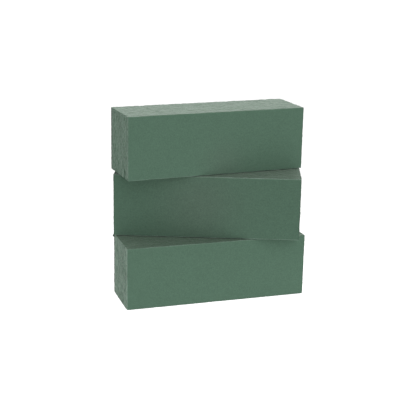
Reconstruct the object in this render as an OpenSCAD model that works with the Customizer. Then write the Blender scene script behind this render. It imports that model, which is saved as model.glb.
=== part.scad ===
// Three loose bricks of floral foam, stacked flat and fanned about the vertical.
// Origin: centre of the bottom brick's underside. +X runs along its length, -Y is
// its front, +Z is up. Millimetres.

/* [Brick] */
// Length of one brick
brick_l = 230; // [200:1:240]
// Depth of one brick, front to back
brick_d = 68; // [60:1:110]
// Height of one brick as it lies
brick_h = 78; // [70:1:90]
// Radius that handling has worn on every edge
edge_r = 0.8; // [0.4:0.1:2]

/* [Stack] */
// Turn of the middle brick about the vertical, in degrees
middle_turn = -20; // [-30:1:30]
// Place of the middle brick's centre along the bottom brick
middle_x = 2; // [-20:1:20]
// Place of the middle brick's centre behind the bottom brick's
middle_y = 17; // [-20:1:20]
// Turn of the top brick about the vertical, in degrees
top_turn = 4; // [-30:1:30]
// Place of the top brick's centre along the bottom brick
top_x = 3; // [-20:1:20]
// Place of the top brick's centre behind the bottom brick's
top_y = 25; // [-28:1:28]
// Gap that dust and crumbs keep between two bricks
seat_gap = 0.05; // [0.05:0.05:0.5]

/* [Wear] */
// Radius of the rounded scoop that a crumbled chip leaves
chip_r = 4; // [2.5:0.5:6]
// Depth that a chip bites in from the sharp edge
chip_bite = 1.6; // [0.8:0.1:2.4]
// Width of the saw nick in the top brick's left end
nick_w = 2.4; // [1:0.1:4]
// Height that the nick runs up from the underside
nick_h = 12; // [5:1:30]
// Depth of the nick
nick_depth = 2; // [0.5:0.1:4]
// Distance of the nick behind the front face
nick_from_front = 13.5; // [10:0.5:40]

/* [Hidden] */
$fn = 48;
foam_green = [0.34, 0.45, 0.38];
half_l = brick_l / 2;
half_d = brick_d / 2;
// Height from one brick's underside to the next one's
brick_pitch = brick_h + seat_gap;
// Each chip is [side along the length, side front to back, side up, place along the edge].
// One of the three sides is 0: that is the axis that the chipped edge runs along, and
// the place is measured along it from the middle of the edge.
bottom_chips = [[0, 1, 1, 62], [1, 0, -1, -12], [1, 1, 0, 14]];
middle_chips = [[0, 1, -1, -48], [1, 0, -1, 12], [1, 1, 0, -20]];
top_chips = [[0, 1, -1, -71], [0, 1, 1, 38], [1, 0, -1, 19]];

// Rectangle centred on the origin, with true arcs at its corners.
module eased_rectangle(w, h) {
    square([w - 2 * edge_r, h], center = true);
    square([w, h - 2 * edge_r], center = true);
    for (x = [-1, 1], y = [-1, 1])
        translate([x * (w / 2 - edge_r), y * (h / 2 - edge_r)])
            circle(edge_r);
}

// Block with eased edges, its underside centred on the origin.
module eased_block() {
    translate([0, 0, brick_h / 2])
        intersection() {
            linear_extrude(brick_h, center = true)
                eased_rectangle(brick_l, brick_d);
            rotate([90, 0, 0])
                linear_extrude(brick_d, center = true)
                    eased_rectangle(brick_l, brick_h);
            rotate([90, 0, 90])
                linear_extrude(brick_l, center = true)
                    eased_rectangle(brick_d, brick_h);
        }
}

// Scoop that a chip leaves in one edge of a brick.
module chip(side_x, side_y, side_z, along) {
    // From the edge, the scoop's centre stands out equally on both of its sides.
    out = (chip_r - chip_bite) / sqrt(2);
    translate([side_x == 0 ? along : side_x * (half_l + out),
               side_y == 0 ? along : side_y * (half_d + out),
               brick_h / 2 + (side_z == 0 ? along : side_z * (brick_h / 2 + out))])
        sphere(chip_r);
}

module foam_brick(chips) {
    difference() {
        eased_block();
        for (c = chips)
            chip(c[0], c[1], c[2], c[3]);
    }
}

// Short saw nick in the left end, open at the underside.
module saw_nick() {
    translate([-half_l - 1, nick_from_front - half_d - nick_w / 2, -1])
        cube([nick_depth + 1, nick_w, nick_h + 1]);
}

module bottom_brick() {
    color(foam_green)
        foam_brick(bottom_chips);
}

module middle_brick() {
    color(foam_green)
        translate([middle_x, middle_y, brick_pitch])
            rotate([0, 0, middle_turn])
                foam_brick(middle_chips);
}

module top_brick() {
    color(foam_green)
        translate([top_x, top_y, 2 * brick_pitch])
            rotate([0, 0, top_turn])
                difference() {
                    foam_brick(top_chips);
                    saw_nick();
                }
}

bottom_brick();
middle_brick();
top_brick();
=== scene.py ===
import itertools
import math

import bpy
import numpy as np
from mathutils import Matrix, Vector


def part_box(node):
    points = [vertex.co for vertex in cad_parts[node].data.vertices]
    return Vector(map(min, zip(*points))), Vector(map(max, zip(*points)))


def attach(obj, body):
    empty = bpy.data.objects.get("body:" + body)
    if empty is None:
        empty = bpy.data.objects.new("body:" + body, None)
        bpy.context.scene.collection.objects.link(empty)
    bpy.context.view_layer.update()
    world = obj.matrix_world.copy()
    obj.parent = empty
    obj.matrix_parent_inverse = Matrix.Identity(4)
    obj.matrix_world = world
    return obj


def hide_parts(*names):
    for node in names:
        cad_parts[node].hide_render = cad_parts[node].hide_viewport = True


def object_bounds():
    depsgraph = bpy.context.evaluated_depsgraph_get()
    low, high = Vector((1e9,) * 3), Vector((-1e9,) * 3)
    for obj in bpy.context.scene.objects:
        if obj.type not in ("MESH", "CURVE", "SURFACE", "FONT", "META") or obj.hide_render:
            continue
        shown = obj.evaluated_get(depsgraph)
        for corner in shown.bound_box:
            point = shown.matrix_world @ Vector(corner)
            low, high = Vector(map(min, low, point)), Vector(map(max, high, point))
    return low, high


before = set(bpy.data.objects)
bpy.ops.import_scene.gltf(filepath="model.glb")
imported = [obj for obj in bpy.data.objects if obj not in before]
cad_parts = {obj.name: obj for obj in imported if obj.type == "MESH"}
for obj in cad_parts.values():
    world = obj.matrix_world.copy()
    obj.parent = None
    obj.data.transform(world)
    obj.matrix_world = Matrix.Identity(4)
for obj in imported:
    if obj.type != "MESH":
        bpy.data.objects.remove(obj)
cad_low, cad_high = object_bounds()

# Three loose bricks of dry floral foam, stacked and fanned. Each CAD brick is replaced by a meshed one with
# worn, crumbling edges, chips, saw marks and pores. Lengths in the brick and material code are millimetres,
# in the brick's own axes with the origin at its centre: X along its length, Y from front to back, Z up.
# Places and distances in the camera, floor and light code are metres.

MM = 0.001  # metres

# ---------------------------------------------------------------- design values, as in part.scad
TURN = {"bottom_brick": 0.0, "middle_brick": -20.0, "top_brick": 4.0}  # degrees about the vertical
BODY = {"bottom_brick": "bottom", "middle_brick": "middle", "top_brick": "top"}
EDGE_RADIUS = 0.8
CHIP_RADIUS = 4.0
CHIP_BITE = 1.6
# An edge is named by the sides that it joins: -1 or 1 on two axes, and 0 on the axis that it runs along.
# A chip is an edge and a place along it.
CHIPS = {
    "bottom_brick": [(0, 1, 1, 62), (1, 0, -1, -12), (1, 1, 0, 14)],
    "middle_brick": [(0, 1, -1, -48), (1, 0, -1, 12), (1, 1, 0, -20)],
    "top_brick": [(0, 1, -1, -71), (0, 1, 1, 38), (1, 0, -1, 19)],
}
NICKED_BRICK = "top_brick"
NICK_WIDTH = 2.4
NICK_HEIGHT = 12.0
NICK_DEPTH = 2.0
NICK_FROM_FRONT = 13.5

low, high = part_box("bottom_brick")  # the bottom brick is square to the axes, so its box is a brick's size
HALF = np.array((high - low) / 2) / MM
# The twelve edges of a brick
EDGES = [edge for edge in itertools.product((-1, 0, 1), repeat=3) if edge.count(0) == 1]
NICK_Y = NICK_FROM_FRONT - HALF[1]

# ---------------------------------------------------------------- wear
# Two noises vary the radius of the worn edges: the size of a bump, and the share of the radius that it adds
EDGE_WEAR = [(14, 0.35), (2.6, 0.4)]
MOST_WORN_RADIUS = 1.9
UNDERCUT = 0.7  # how far the underside is worn away along its edges
UNDERCUT_REACH = (2, 6)  # it is whole up to the first distance from an edge, and gone past the second

# Small crumbles along every edge
CRUMBLE_SPACING = 9
CRUMBLE_RADIUS = (1.0, 2.6)
CRUMBLE_BITE = (0.2, 0.6)
CORNER_GAP = 2  # how far they keep from the corners
# Edges that crumble more often and deeper than the others, and how many times as often
CRUMBLY_EDGES = {"bottom_brick": {(-1, 0, 1): 2.0, (-1, -1, 0): 1.5}}
# The depths between which a scoop shows freshly broken foam, and how much of it
CHIP_BREAK = (0.05, 0.4)
CRUMBLE_BREAK = (0.05, 0.3)
CRUMBLE_FRESHNESS = 0.6
# A frayed corner: its sides, how far below it the burr's root lies, and how far the burr is pulled out
BURRS = {"bottom_brick": ((-1, 1, 1), 2.6, (-1.9, 0.4, -0.4))}
BURR_REACH = 2.6
NICK_BLUR = 0.12  # how far the nick's sides spread to each side of its true width
NICK_TAPER = 3  # how far below its top the nick starts to run out

# Shallow relief, always inward. Each layer has the size of its bumps, its noise's seed and octaves, and its
# depth on the ends, on the long sides, and on the top and underside.
RELIEF = [
    (45, 5, 2, (0.10, 0.10, 0.10)),  # a slow sway
    (3.0, 6, 2, (0.52, 0.02, 0.52)),  # mottling
    ((6.5, 3.0, 3.0), 7, 2, (0.0, 0.03, 0.60)),  # saw marks along the brick
    ((3.0, 3.0, 4.5), 8, 2, (0.90, 0.0, 0.0)),  # saw marks up the ends
    (1.8, 9, 1, (0.73, 0.03, 0.28)),  # pores
]
RELIEF_LEFT_OUT = (0.60, 0.05, 0.60)  # taken off their sum on those faces, so that only hollows go inward
UNDERSIDE_PRESSED = 0.6  # the share of the relief that weight has pressed flat

# What lies along an edge: above 0, pale dust that is partly a painted highlight; below 0, a dark line of
# painted shade. More than 1 also closes a mark's gaps.
EDGE_MARKS = {
    "bottom_brick": {(-1, -1, 0): 1.5, (0, -1, 1): 0.5, (-1, 0, 1): 1.0, (-1, 1, 0): -1.4, (1, 0, 1): -1.2},
    "middle_brick": {(0, -1, 1): 1.0, (0, -1, -1): 2.2, (1, 0, 1): -1.2},
    "top_brick": {(0, -1, -1): 1.0, (-1, -1, 0): 0.4, (0, -1, 1): 0.3, (-1, 0, 1): 0.3, (-1, 1, 0): -1.4},
}
# Every other edge gets a dark line of painted shade.
USUAL_MARK = -0.9
MARK_CORE = 0.3  # a mark is whole up to this distance from its edge
# How far a mark reaches from its edge, and how much further it reaches over the left end from an upright one
MARK_REACH = {"dust": (1.3, 2.2), "painted_shade": (1.6, 4.5)}
# The noise that gives the marks gaps: the size of a bump, its seed and octaves, then its level and its swing
MARK_GAPS = (12, 11, 3)
MARK_GAPS_LEVEL = 0.7
MARK_GAPS_SWING = 0.5
MARK_BROKEN_OFF = 0.7  # the share of a mark that freshly broken foam has lost
# How much dust has settled in blotches on a brick's ends, and the blotches' noise and its range
POWDERED_ENDS = {"bottom_brick": 0.4, "middle_brick": 0.15, "top_brick": 0.2}
BLOTCHES = ((9, 9, 14), 12, 3)
BLOTCH_RANGE = (-0.1, 0.5)
# How bright each brick is made: painted shade, deepest on the middle brick, as all three bricks are the same
# foam
BRICK_SHADE = {"bottom_brick": 0.985, "middle_brick": 0.93, "top_brick": 0.965}
# A browner patch on a brick's front: its place along and up the brick, its radius and its strength
FADED = {"middle_brick": (-10, 2, 48, 1.0), "top_brick": (8, -26, 26, 0.7)}


# ---------------------------------------------------------------- repeatable noise
# Large odd numbers that scramble a cell's place and its seed, and the shifts between them
AXIS_SCRAMBLE = (374761393, 668265263, 2246822519)
SEED_SCRAMBLE = 3266489917
SCRAMBLE_STEPS = [(15, 2654435761), (13, 1274126177), (16, 1)]
KEPT_BITS = 0xFFFFFF  # the bits of the scrambled number that give the random one
FIRST_CELL = 1000.0  # keeps the cells' numbers positive
OCTAVE_SEED_STEP = 17


def cell_value(cells, seed):
    """A random number from -1 to 1 for each whole-number cell, the same on every run."""
    whole = cells.astype(np.int64).astype(np.uint64)
    code = np.full(cells.shape[:-1], seed * SEED_SCRAMBLE % 2**32, np.uint64)
    for axis, number in enumerate(AXIS_SCRAMBLE):
        code += whole[..., axis] * np.uint64(number)
    for shift, number in SCRAMBLE_STEPS:
        code ^= code >> np.uint64(shift)
        code *= np.uint64(number)
    return (code & np.uint64(KEPT_BITS)).astype(float) / (KEPT_BITS // 2) - 1


def eased(share):
    """A share from 0 to 1 that leaves 0 and reaches 1 gently."""
    return share * share * (3 - 2 * share)


def smooth_step(start, end, value):
    """0 on start's side, 1 on end's side, and a gentle change between them. Either may be the greater."""
    return eased(np.clip((value - start) / (end - start), 0, 1))


def noise(points, bump, seed):
    """Smooth noise from -1 to 1. bump is the size of one bump, for all axes or one for each."""
    place = points / np.asarray(bump, float) + FIRST_CELL
    base = np.floor(place)
    share = eased(place - base)
    total = 0.0
    for corner in np.ndindex(2, 2, 2):
        weight = np.prod(np.where(corner, share, 1 - share), axis=-1)
        total = total + weight * cell_value(base + corner, seed)
    return total


def rough_noise(points, bump, seed, octaves):
    """Noise with finer and weaker bumps on top of each other."""
    bump = np.asarray(bump, float)
    total = 0.0
    most = 0.0
    for k in range(octaves):
        total = total + noise(points, bump / 2**k, seed + OCTAVE_SEED_STEP * k) / 2**k
        most += 1 / 2**k
    return total / most


# ---------------------------------------------------------------- the ruled box that a brick starts as
EDGE_STEPS = [0, 0.2, 0.45, 0.75, 1.1, 1.6, 2.3, 3.2]  # distances of the mesh's lines from a brick's edge
FACE_STEP = 1.05  # the lines' spacing on the open faces
# Closer lines around a place: how far they reach to each side of it, and their spacing
CHIP_LINES = (4.2, 0.6)
NICK_LINES = (1.8, 0.3)
LINE_DECIMALS = 4


def closer_lines(name):
    """The place, reach and spacing of the closer lines on each axis, at the brick's chips and nick."""
    closer = [[], [], []]
    for *edge, along in CHIPS[name]:
        closer[edge.index(0)].append((along, *CHIP_LINES))
    if name == NICKED_BRICK:
        closer[1].append((NICK_Y, *NICK_LINES))
    return closer


def mesh_lines(half, closer):
    """Where the mesh's lines lie along one axis."""
    edge = half - np.array(EDGE_STEPS)
    inner = edge[-1]
    count = int(round(2 * inner / FACE_STEP))
    lines = np.concatenate([-edge, np.linspace(-inner, inner, count + 1)[1:-1], edge[::-1]])
    for place, reach, step in closer:
        around = np.arange(place - reach, place + reach + step / 2, step)
        kept = lines[(abs(lines - place) > reach + step / 2) | (abs(lines) > inner)]
        lines = np.unique(np.round(np.concatenate([kept, around[abs(around) < inner]]), LINE_DECIMALS))
    return lines


def box_surface(xs, ys, zs):
    """The points and outward quads of the surface of a box that is ruled by those lines."""
    shape = (len(xs), len(ys), len(zs))
    on_surface = np.ones(shape, bool)
    on_surface[1:-1, 1:-1, 1:-1] = False
    index = np.full(shape, -1)
    index[on_surface] = np.arange(on_surface.sum())
    points = np.stack(np.meshgrid(xs, ys, zs, indexing="ij"), -1)[on_surface]
    quads = []
    for axis in range(3):
        for side in (0, -1):
            face = np.take(index, side, axis)
            corners = [face[:-1, :-1], face[1:, :-1], face[1:, 1:], face[:-1, 1:]]
            quad = np.stack(corners, -1).reshape(-1, 4)
            outward = (side == -1) != (axis == 1)
            quads.append(quad if outward else quad[:, ::-1])
    return points, np.concatenate(quads)


# ---------------------------------------------------------------- the shape of a worn brick
CHIP_ROUGHNESS = 0.12
CRUMBLE_ROUGHNESS = 0.2
SCOOP_BUMPS = 3  # the bumps across a scoop's radius
SCOOP_MARGIN = 1.3  # no scoop moves a point further from its centre than this many radii
# How far apart the scoops' seeds are: from brick to brick, and from edge to edge
CHIP_SEED_STEP = 31
CRUMBLE_SEED_STEP = 97
EDGE_SEED_STEP = 40


def scoop(points, centre, radius, seed, roughness):
    """Presses the points in a rough ball out on to its surface. Returns all points and how far each moved."""
    out = points - centre
    away = np.linalg.norm(out, axis=1)
    reach = radius * (1 + roughness * noise(points, radius / SCOOP_BUMPS, seed))
    inside = away < reach
    moved = points.copy()
    moved[inside] = centre + out[inside] * (reach[inside] / away[inside])[:, None]
    return moved, np.linalg.norm(moved - points, axis=1)


def scoop_centre(edge, along, radius, bite):
    """The centre of a ball that bites that deep into an edge at that place along it."""
    outward = (radius - bite) / math.sqrt(2)
    return np.array([side * (half + outward) if side else along for side, half in zip(edge, HALF)])


def round_edges(points, texture_at):
    """Rounds the box's edges, more in some places than in others. Returns the surface and its normals."""
    wear = 1.0
    for seed, (bump, swing) in enumerate(EDGE_WEAR, 1):
        wear = wear + swing * noise(texture_at, bump, seed)
    radius = np.clip(EDGE_RADIUS * wear, EDGE_RADIUS, MOST_WORN_RADIUS)[:, None]
    inner = np.clip(points, radius - HALF, HALF - radius)
    normal = points - inner
    normal /= np.linalg.norm(normal, axis=1, keepdims=True)
    return inner + normal * radius, normal


def cut_chips(name, number, surface, broken):
    """Scoops the design's chips out of the surface, and notes how freshly broken their foam is."""
    for k, (*edge, along) in enumerate(CHIPS[name]):
        centre = scoop_centre(edge, along, CHIP_RADIUS, CHIP_BITE)
        seed = number * CHIP_SEED_STEP + k
        surface[:], moved = scoop(surface, centre, CHIP_RADIUS, seed, CHIP_ROUGHNESS)
        broken[:] = np.maximum(broken, smooth_step(*CHIP_BREAK, moved))


def crumble_edges(name, number, surface, broken):
    """Scoops small crumbles out of every edge, and notes how freshly broken their foam is."""
    rng = np.random.default_rng(number)
    for e, edge in enumerate(EDGES):
        run = HALF[edge.index(0)] - CORNER_GAP
        crumbly = CRUMBLY_EDGES.get(name, {}).get(edge, 1.0)
        for c in range(int(2 * run * crumbly / CRUMBLE_SPACING)):
            radius = rng.uniform(*CRUMBLE_RADIUS)
            bite = rng.uniform(*CRUMBLE_BITE) * math.sqrt(crumbly)
            centre = scoop_centre(edge, rng.uniform(-run, run), radius, bite)
            near = np.linalg.norm(surface - centre, axis=1) < SCOOP_MARGIN * radius
            seed = number * CRUMBLE_SEED_STEP + e * EDGE_SEED_STEP + c
            surface[near], moved = scoop(surface[near], centre, radius, seed, CRUMBLE_ROUGHNESS)
            fresh = CRUMBLE_FRESHNESS * smooth_step(*CRUMBLE_BREAK, moved)
            broken[near] = np.maximum(broken[near], fresh)


def relief_depth(texture_at, facing, underside):
    """How deep each point's hollow is."""
    depth = 0.0
    for bump, seed, octaves, depths in RELIEF:
        share = 0.5 + 0.5 * rough_noise(texture_at, bump, seed, octaves)
        depth = depth + share * (facing @ depths)
    return (1 - UNDERSIDE_PRESSED * underside) * np.maximum(depth - facing @ RELIEF_LEFT_OUT, 0)


def wear_underside(points, surface, underside):
    """Wears the underside away along its edges, which leaves a dark gap over what the brick stands on."""
    inboard = np.min(HALF[:2] - abs(points[:, :2]), axis=1)
    whole, gone = UNDERCUT_REACH
    surface[:, 2] += UNDERCUT * underside * smooth_step(gone, whole, inboard)


def pull_burr(name, points, surface):
    """Pulls a burr of torn foam out near a frayed corner."""
    corner, below, pull = BURRS[name]
    root = corner * HALF - (0, 0, below)
    share = smooth_step(BURR_REACH, 0, np.linalg.norm(points - root, axis=1))
    surface += share[:, None] * np.array(pull)


def cut_nick(points, surface, broken):
    """Cuts the nick into the left end. Returns the share of its depth that each point was moved by."""
    aside = abs(points[:, 1] - NICK_Y)
    across = smooth_step(NICK_WIDTH / 2 + NICK_BLUR, NICK_WIDTH / 2 - NICK_BLUR, aside)
    upward = smooth_step(NICK_HEIGHT, NICK_HEIGHT - NICK_TAPER, points[:, 2] + HALF[2])
    at_left_end = points[:, 0] < 2 * NICK_DEPTH - HALF[0]
    cut = across * upward * at_left_end
    surface[:, 0] += cut * NICK_DEPTH
    broken[:] = np.maximum(broken, cut)
    return cut


# ---------------------------------------------------------------- the marks on a brick
def edge_distance(points, edge):
    """How far each point lies from an edge."""
    away = [HALF[axis] - side * points[:, axis] for axis, side in enumerate(edge) if side]
    return np.hypot(*away)


def dust_and_bruise(name, points, texture_at, facing, broken):
    """How much pale dust and painted highlight, and how much painted shade, each point has, from 0 to 1."""
    marks = {kind: np.zeros(len(points)) for kind in ("dust", "painted_shade")}
    left_end = facing[:, 0] * (points[:, 0] < 0)
    for edge in EDGES:
        amount = EDGE_MARKS[name].get(edge, USUAL_MARK)
        kind = "dust" if amount > 0 else "painted_shade"
        reach, further = MARK_REACH[kind]
        if edge[2] == 0:
            reach = reach + further * left_end
        near = 1 - smooth_step(MARK_CORE, reach, edge_distance(points, edge))
        marks[kind] = np.maximum(marks[kind], abs(amount) * near)
    blotches = smooth_step(*BLOTCH_RANGE, rough_noise(texture_at, *BLOTCHES))
    marks["dust"] = np.maximum(marks["dust"], POWDERED_ENDS[name] * facing[:, 0] * blotches)
    kept = MARK_GAPS_LEVEL + MARK_GAPS_SWING * rough_noise(texture_at, *MARK_GAPS)
    kept *= 1 - MARK_BROKEN_OFF * broken
    return [np.clip(mark * kept, 0, 1) for mark in marks.values()]


def faded_patch(name, points, facing):
    """How much of the browner patch on the brick's front each point has."""
    if name not in FADED:
        return np.zeros(len(points))
    x, z, radius, strength = FADED[name]
    away = np.hypot(points[:, 0] - x, points[:, 2] - z) / radius
    front = facing[:, 1] * (points[:, 1] < 0)
    return strength * front * np.exp(-(away**2))


# ---------------------------------------------------------------- a whole brick
TEXTURE_SHIFT = 400.0  # from one brick's noise to the next one's, so that no two bricks are alike


def brick_mesh(name, number):
    """The brick's mesh in its own axes: points, quads and the attributes that its material reads."""
    points, quads = box_surface(*[mesh_lines(half, closer) for half, closer in zip(HALF, closer_lines(name))])
    texture_at = points + TEXTURE_SHIFT * number
    surface, normal = round_edges(points, texture_at)
    facing = normal**2  # how much of a point is end, long side, and top or underside: they add up to 1
    underside = facing[:, 2] * (points[:, 2] < 0)
    broken = np.zeros(len(points))
    cut_chips(name, number, surface, broken)
    crumble_edges(name, number, surface, broken)
    surface -= normal * relief_depth(texture_at, facing, underside)[:, None]
    wear_underside(points, surface, underside)
    if name in BURRS:
        pull_burr(name, points, surface)
    nick = cut_nick(points, surface, broken) if name == NICKED_BRICK else 0
    dust, painted_shade = dust_and_bruise(name, points, texture_at, facing, broken)
    return surface, quads, {
        "grain_mm": texture_at,
        "facing": facing,
        "dust": dust,
        # The nick gets painted shade as well, which darkens its groove.
        "painted_shade": np.maximum(painted_shade, nick),
        "broken": broken,
        "faded": faded_patch(name, points, facing),
        "brick_shade": np.full(len(points), BRICK_SHADE[name]),
    }


def placement(name):
    """Carries a brick's own axes to where the CAD brick stands, in metres."""
    brick_low, brick_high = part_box(name)
    turn = Matrix.Rotation(math.radians(TURN[name]), 4, "Z")
    return Matrix.Translation((brick_low + brick_high) / 2) @ turn @ Matrix.Scale(MM, 4)


def make_brick(name, number, material):
    """Builds one brick as a Blender object that stands for its CAD node."""
    points, quads, attributes = brick_mesh(name, number)
    mesh = bpy.data.meshes.new(name + "_foam")
    mesh.from_pydata(points, [], quads.tolist())
    for key, values in attributes.items():
        kind, field = ("FLOAT_VECTOR", "vector") if values.ndim == 2 else ("FLOAT", "value")
        mesh.attributes.new(key, kind, "POINT").data.foreach_set(field, values.astype(np.float32).ravel())
    mesh.transform(placement(name))
    mesh.shade_smooth()
    mesh.validate()
    mesh.materials.append(material)
    brick = bpy.data.objects.new(name + "_foam", mesh)
    bpy.context.scene.collection.objects.link(brick)
    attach(brick, BODY[name])
    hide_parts(name)


# ---------------------------------------------------------------- node trees
# The numbers of a Mix node's colour sockets
MIX_A = 6
MIX_B = 7
MIX_RESULT = 2


class Nodes:
    """Short helpers for building the node tree of a material or a world."""

    def __init__(self, owner):
        owner.use_nodes = True
        self.tree = owner.node_tree
        self.tree.nodes.clear()

    def feed(self, socket, source):
        """Sets a socket to a number, vector or colour, or links an output into it."""
        if isinstance(source, bpy.types.NodeSocket):
            self.tree.links.new(source, socket)
        else:
            socket.default_value = source

    def add(self, kind, inputs, **settings):
        """Adds a node with those settings, and feeds its inputs by name or number. Returns its outputs."""
        node = self.tree.nodes.new(kind)
        for key, value in settings.items():
            setattr(node, key, value)
        for key, source in inputs.items():
            self.feed(node.inputs[key], source)
        return node.outputs

    def attribute(self, name):
        """The outputs of one of the mesh's attributes."""
        return self.add("ShaderNodeAttribute", {}, attribute_name=name)

    def math(self, operation, *values, clamp=False):
        return self.add("ShaderNodeMath", dict(enumerate(values)), operation=operation, use_clamp=clamp)[0]

    def vector_math(self, operation, *values):
        return self.add("ShaderNodeVectorMath", dict(enumerate(values)), operation=operation)

    def product(self, *factors):
        """All of the factors multiplied together."""
        result = factors[0]
        for factor in factors[1:]:
            result = self.math("MULTIPLY", result, factor)
        return result

    def varied(self, value, swing):
        """A factor that is 1 where value is a half, and that changes by swing while value changes by 1."""
        return self.math("MULTIPLY_ADD", self.math("SUBTRACT", value, 0.5), swing, 1.0)

    def mix(self, share, a, b, blend="MIX"):
        """Colour a with that share of colour b mixed in."""
        inputs = {"Factor": share, MIX_A: a, MIX_B: b}
        return self.add("ShaderNodeMix", inputs, data_type="RGBA", blend_type=blend)[MIX_RESULT]

    def noise(self, vector, bump, detail, roughness):
        """Noise whose bumps are that many millimetres across."""
        inputs = {"Vector": vector, "Scale": 1 / bump, "Detail": detail, "Roughness": roughness}
        return self.add("ShaderNodeTexNoise", inputs)["Fac"]


# ---------------------------------------------------------------- material
SKIN = (0.062, 0.115, 0.080, 1)  # the smooth long sides
SKIN_FADED = (0.068, 0.111, 0.081, 1)
SAWN = (0.0505, 0.097, 0.061, 1)  # the sawn top and underside
END = (0.0695, 0.1255, 0.0855, 1)  # the sawn ends
# Pale dust, and the colour of the painted highlights along some edges
DUST_AND_HIGHLIGHT_COLOUR = (0.170, 0.240, 0.195, 1)
INSIDE = (0.042, 0.080, 0.055, 1)  # freshly broken foam
INSIDE_SHARE = 0.7
# How much the painted shade along the edges and in the nick darkens the foam
PAINTED_SHADE_STRENGTH = 0.6
ROUGHNESS = 0.95
SPECULAR = 0.2
SHEEN = 0.165
SHEEN_ROUGHNESS = 0.4
SHEEN_TINT = (0.93, 1.0, 0.95, 1)

CELL_SIZE = 0.45  # the foam's open cells
# Noises: the size of a bump, the detail and the roughness
CLUMPS = (1.8, 3.0, 0.75)  # clumps of cells
MOTTLE = (12.0, 3.0, 0.6)
TORN = (3.2, 3.0, 0.7)  # spots where cells are torn out
POWDER = (0.9, 2.0, 0.5)  # grains of dust
STREAKS_ALONG = (3.0, 3.0, 0.7)  # the saw's streaks along the brick,
ALONG_SCALE = (0.3, 1, 1)  # which are drawn out along it
STREAKS_UP = (2.6, 3.0, 0.7)  # the saw's streaks up its ends,
UP_SCALE = (1, 1, 0.55)  # which are drawn out upward

# How much the brightness changes with each noise: on the ends, on the long sides, on the top and underside
CLUMPS_SWING = (1.25, 0.50, 1.10)
MOTTLE_SWING = (0.53, 0.08, 0.08)
STREAKS_SWING = (0.80, 0.10, 0.80)
TORN_SHADE = (0.20, 0.05, 0.20)  # how much darker a torn spot is there
POWDER_SWING = 1.6
CELL_LEVEL = 1.12  # the brightness at a cell's middle, and how much it falls towards its walls
CELL_FALL = 0.35
TORN_SLOPE = 8.0  # a spot is torn where this many times its noise is above TORN_START
TORN_START = 4.6

# How strongly the surface is bent, and how deep: by clumps, by streaks and by cells
BUMPS = [(0.5, 0.25), (0.35, 0.20), (0.45, 0.12)]


def saw_streaks(n, at, end):
    """The saw's streaks: up the ends, and along the brick on its other sides."""
    upward = n.noise(n.vector_math("MULTIPLY", at, UP_SCALE)["Vector"], *STREAKS_UP)
    lengthwise = n.noise(n.vector_math("MULTIPLY", at, ALONG_SCALE)["Vector"], *STREAKS_ALONG)
    not_end = n.math("SUBTRACT", 1.0, end)
    return n.math("ADD", n.product(upward, end), n.product(lengthwise, not_end))


def foam_colour(n, at, end, side):
    """The foam's colour: skin or sawn foam, freshly broken foam, and dust, which on some edges is also a
    painted highlight.
    """
    sawn = n.math("SUBTRACT", 1.0, side, clamp=True)
    skin = n.mix(n.attribute("faded")["Fac"], SKIN, SKIN_FADED)
    colour = n.mix(end, n.mix(sawn, skin, SAWN), END)
    fresh = n.product(n.attribute("broken")["Fac"], INSIDE_SHARE)
    colour = n.mix(fresh, colour, INSIDE)
    grains = n.varied(n.noise(at, *POWDER), POWDER_SWING)
    # dust, and painted highlights along some edges, broken into grains
    dust_and_highlight_amount = n.math("MULTIPLY", n.attribute("dust")["Fac"], grains, clamp=True)
    return n.mix(dust_and_highlight_amount, colour, DUST_AND_HIGHLIGHT_COLOUR)


def foam_brightness(n, at, facing, clumps, streaks, cells):
    """What the foam's colour is multiplied by, from spot to spot."""
    def by_face(values):
        return n.vector_math("DOT_PRODUCT", facing, values)["Value"]

    torn = n.math("MULTIPLY_ADD", n.noise(at, *TORN), TORN_SLOPE, -TORN_START, clamp=True)
    return n.product(
        n.varied(n.noise(at, *MOTTLE), by_face(MOTTLE_SWING)),
        n.varied(clumps, by_face(CLUMPS_SWING)),
        n.varied(streaks, by_face(STREAKS_SWING)),
        n.math("MULTIPLY_ADD", cells, -CELL_FALL, CELL_LEVEL),
        n.math("SUBTRACT", 1.0, n.product(torn, by_face(TORN_SHADE))),
        # each brick's painted shade
        n.attribute("brick_shade")["Fac"],
        # painted shade along the edges and in the nick
        n.math("MULTIPLY_ADD", n.attribute("painted_shade")["Fac"], -PAINTED_SHADE_STRENGTH, 1.0),
    )


def bumpy_normal(n, heights):
    """A normal that is bent by each height in turn."""
    bent = {}
    for height, (strength, depth) in zip(heights, BUMPS):
        inputs = {"Height": height, "Strength": strength, "Distance": depth * MM, **bent}
        bent = {"Normal": n.add("ShaderNodeBump", inputs)["Normal"]}
    return bent["Normal"]


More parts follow.
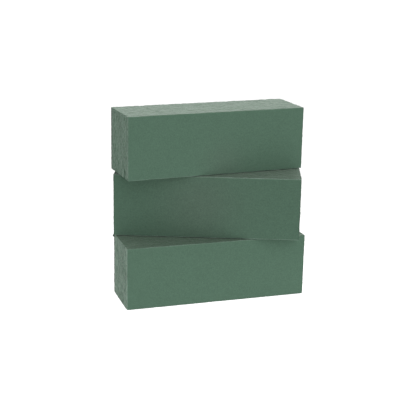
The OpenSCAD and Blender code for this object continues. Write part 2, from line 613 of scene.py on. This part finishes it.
def foam_material():
    """Dry floral foam: dull green, grainy where it was sawn, with a powdery sheen."""
    material = bpy.data.materials.new("floral_foam")
    n = Nodes(material)
    at = n.attribute("grain_mm")["Vector"]
    facing = n.attribute("facing")["Vector"]
    shares = n.add("ShaderNodeSeparateXYZ", {"Vector": facing})
    clumps = n.noise(at, *CLUMPS)
    streaks = saw_streaks(n, at, shares["X"])
    cells = n.add("ShaderNodeTexVoronoi", {"Vector": at, "Scale": 1 / CELL_SIZE}, feature="F1")["Distance"]

    brightness = foam_brightness(n, at, facing, clumps, streaks, cells)
    grey = n.add("ShaderNodeCombineXYZ", {"X": brightness, "Y": brightness, "Z": brightness})["Vector"]
    colour = n.mix(1.0, foam_colour(n, at, shares["X"], shares["Y"]), grey, "MULTIPLY")
    shader = n.add("ShaderNodeBsdfPrincipled", {
        "Base Color": colour,
        "Roughness": ROUGHNESS,
        "Specular IOR Level": SPECULAR,
        "Sheen Weight": SHEEN,
        "Sheen Roughness": SHEEN_ROUGHNESS,
        "Sheen Tint": SHEEN_TINT,
        "Normal": bumpy_normal(n, (clumps, streaks, cells)),
    })
    n.add("ShaderNodeOutputMaterial", {"Surface": shader["BSDF"]})
    return material


# ---------------------------------------------------------------- camera
# Where the camera stands from the stack's centre, and where it looks. Angles are in degrees, and a bearing
# goes clockwise from straight behind, seen from above.
CAMERA_BEARING = 198.37
CAMERA_ELEVATION = 15.33
CAMERA_DISTANCE = 1.320
CAMERA_PAN = 18.40  # a bearing
CAMERA_TILT = 15.745  # downward
CAMERA_ROLL = 1.20
SENSOR_WIDTH = 36  # millimetres, and the lens too
LENS = 90.95
FAR_END = 50  # how far the camera sees


def towards(bearing, elevation):
    """The direction of a bearing and an elevation."""
    bearing = math.radians(bearing)
    elevation = math.radians(elevation)
    level = math.cos(elevation)
    return Vector((math.sin(bearing) * level, math.cos(bearing) * level, math.sin(elevation)))


def make_camera():
    """The photograph's viewpoint: in front, a little to the left and above."""
    data = bpy.data.cameras.new("camera")
    data.sensor_width = SENSOR_WIDTH
    data.lens = LENS
    data.clip_end = FAR_END
    camera = bpy.data.objects.new("camera", data)
    bpy.context.scene.collection.objects.link(camera)
    bpy.context.scene.camera = camera
    place = (cad_low + cad_high) / 2 + towards(CAMERA_BEARING, CAMERA_ELEVATION) * CAMERA_DISTANCE
    pan = Matrix.Rotation(-math.radians(CAMERA_PAN), 4, "Z")
    tilt = Matrix.Rotation(math.pi / 2 - math.radians(CAMERA_TILT), 4, "X")
    roll = Matrix.Rotation(math.radians(CAMERA_ROLL), 4, "Z")
    camera.matrix_world = Matrix.Translation(place) @ pan @ tilt @ roll


# ---------------------------------------------------------------- floor
FLOOR_HALF = 8.0
FLOOR_COLOUR = (0.4, 0.4, 0.4, 1)
FLOOR_ROUGHNESS = 0.9
FLOOR_GLOW = 0.42
POOL_GLOW = 0.60  # the pool of light that the stack stands in
POOL_RADIUS = 0.30
WHITE = (1, 1, 1, 1)


def table_material():
    """White and glowing a little, more around the stack."""
    material = bpy.data.materials.new("white_table")
    n = Nodes(material)
    place = n.add("ShaderNodeTexCoord", {})["Object"]
    away = n.math("DIVIDE", n.vector_math("LENGTH", place)["Value"], POOL_RADIUS)
    pool = n.math("EXPONENT", n.math("MULTIPLY", n.math("POWER", away, 2.0), -1.0))
    shader = n.add("ShaderNodeBsdfPrincipled", {
        "Base Color": FLOOR_COLOUR,
        "Roughness": FLOOR_ROUGHNESS,
        "Specular IOR Level": 0.0,
        "Emission Color": WHITE,
        "Emission Strength": n.math("MULTIPLY_ADD", pool, POOL_GLOW, FLOOR_GLOW),
    })
    n.add("ShaderNodeOutputMaterial", {"Surface": shader["BSDF"]})
    return material


def make_floor():
    """A white light table, whose glow keeps the shadows faint."""
    far, z = FLOOR_HALF, cad_low.z
    mesh = bpy.data.meshes.new("floor")
    mesh.from_pydata([(-far, -far, z), (far, -far, z), (far, far, z), (-far, far, z)], [], [(0, 1, 2, 3)])
    mesh.materials.append(table_material())
    floor = bpy.data.objects.new("floor", mesh)
    bpy.context.scene.collection.objects.link(floor)


# ---------------------------------------------------------------- light
HORIZON_GLOW = 1.0
HORIZON_TOP = 0.17  # how high the white surround reaches, as the sine of its elevation
# Soft boxes in front, to the right and behind: the direction that the light comes from, and its strength
SOFT_BOXES = [((0, -0.85, 0.52), 2.2), ((0.95, 0, 0.3), 2.3), ((0, 0.94, 0.34), 2.9)]
SOFT_BOX_SHARPNESS = 3.0
# A low and soft light from behind: where it comes from, its strength and how wide it is, in degrees
BACK_LIGHT_BEARING = 18
BACK_LIGHT_ELEVATION = 20
BACK_LIGHT_STRENGTH = 2.6
BACK_LIGHT_SPREAD = 40


def make_surround():
    """A world with a white surround and wide soft boxes."""
    world = bpy.data.worlds.new("studio")
    bpy.context.scene.world = world
    n = Nodes(world)
    direction = n.add("ShaderNodeTexCoord", {})["Generated"]
    upward = n.add("ShaderNodeSeparateXYZ", {"Vector": direction})["Z"]
    glow = n.math("MULTIPLY", n.math("LESS_THAN", upward, HORIZON_TOP), HORIZON_GLOW)
    for box, strength in SOFT_BOXES:
        facing = n.vector_math("DOT_PRODUCT", direction, tuple(Vector(box).normalized()))["Value"]
        lobe = n.math("POWER", n.math("MAXIMUM", facing, 0.0), SOFT_BOX_SHARPNESS)
        glow = n.math("MULTIPLY_ADD", lobe, strength, glow)
    background = n.add("ShaderNodeBackground", {"Color": WHITE, "Strength": glow})
    n.add("ShaderNodeOutputWorld", {"Surface": background["Background"]})


def make_back_light():
    data = bpy.data.lights.new("back_light", "SUN")
    data.energy = BACK_LIGHT_STRENGTH
    data.angle = math.radians(BACK_LIGHT_SPREAD)
    light = bpy.data.objects.new("back_light", data)
    bpy.context.scene.collection.objects.link(light)
    light.rotation_mode = "QUATERNION"
    light.rotation_quaternion = towards(BACK_LIGHT_BEARING, BACK_LIGHT_ELEVATION).to_track_quat("Z", "Y")


def set_view():
    """Plain colours, with no film look."""
    view = bpy.context.scene.view_settings
    view.view_transform = "Standard"
    view.look = "None"
    view.exposure = 0
    view.gamma = 1


# ---------------------------------------------------------------- the scene
make_camera()
make_floor()
make_surround()
make_back_light()
set_view()
foam = foam_material()
for number, name in enumerate(TURN, 1):
    make_brick(name, number, foam)
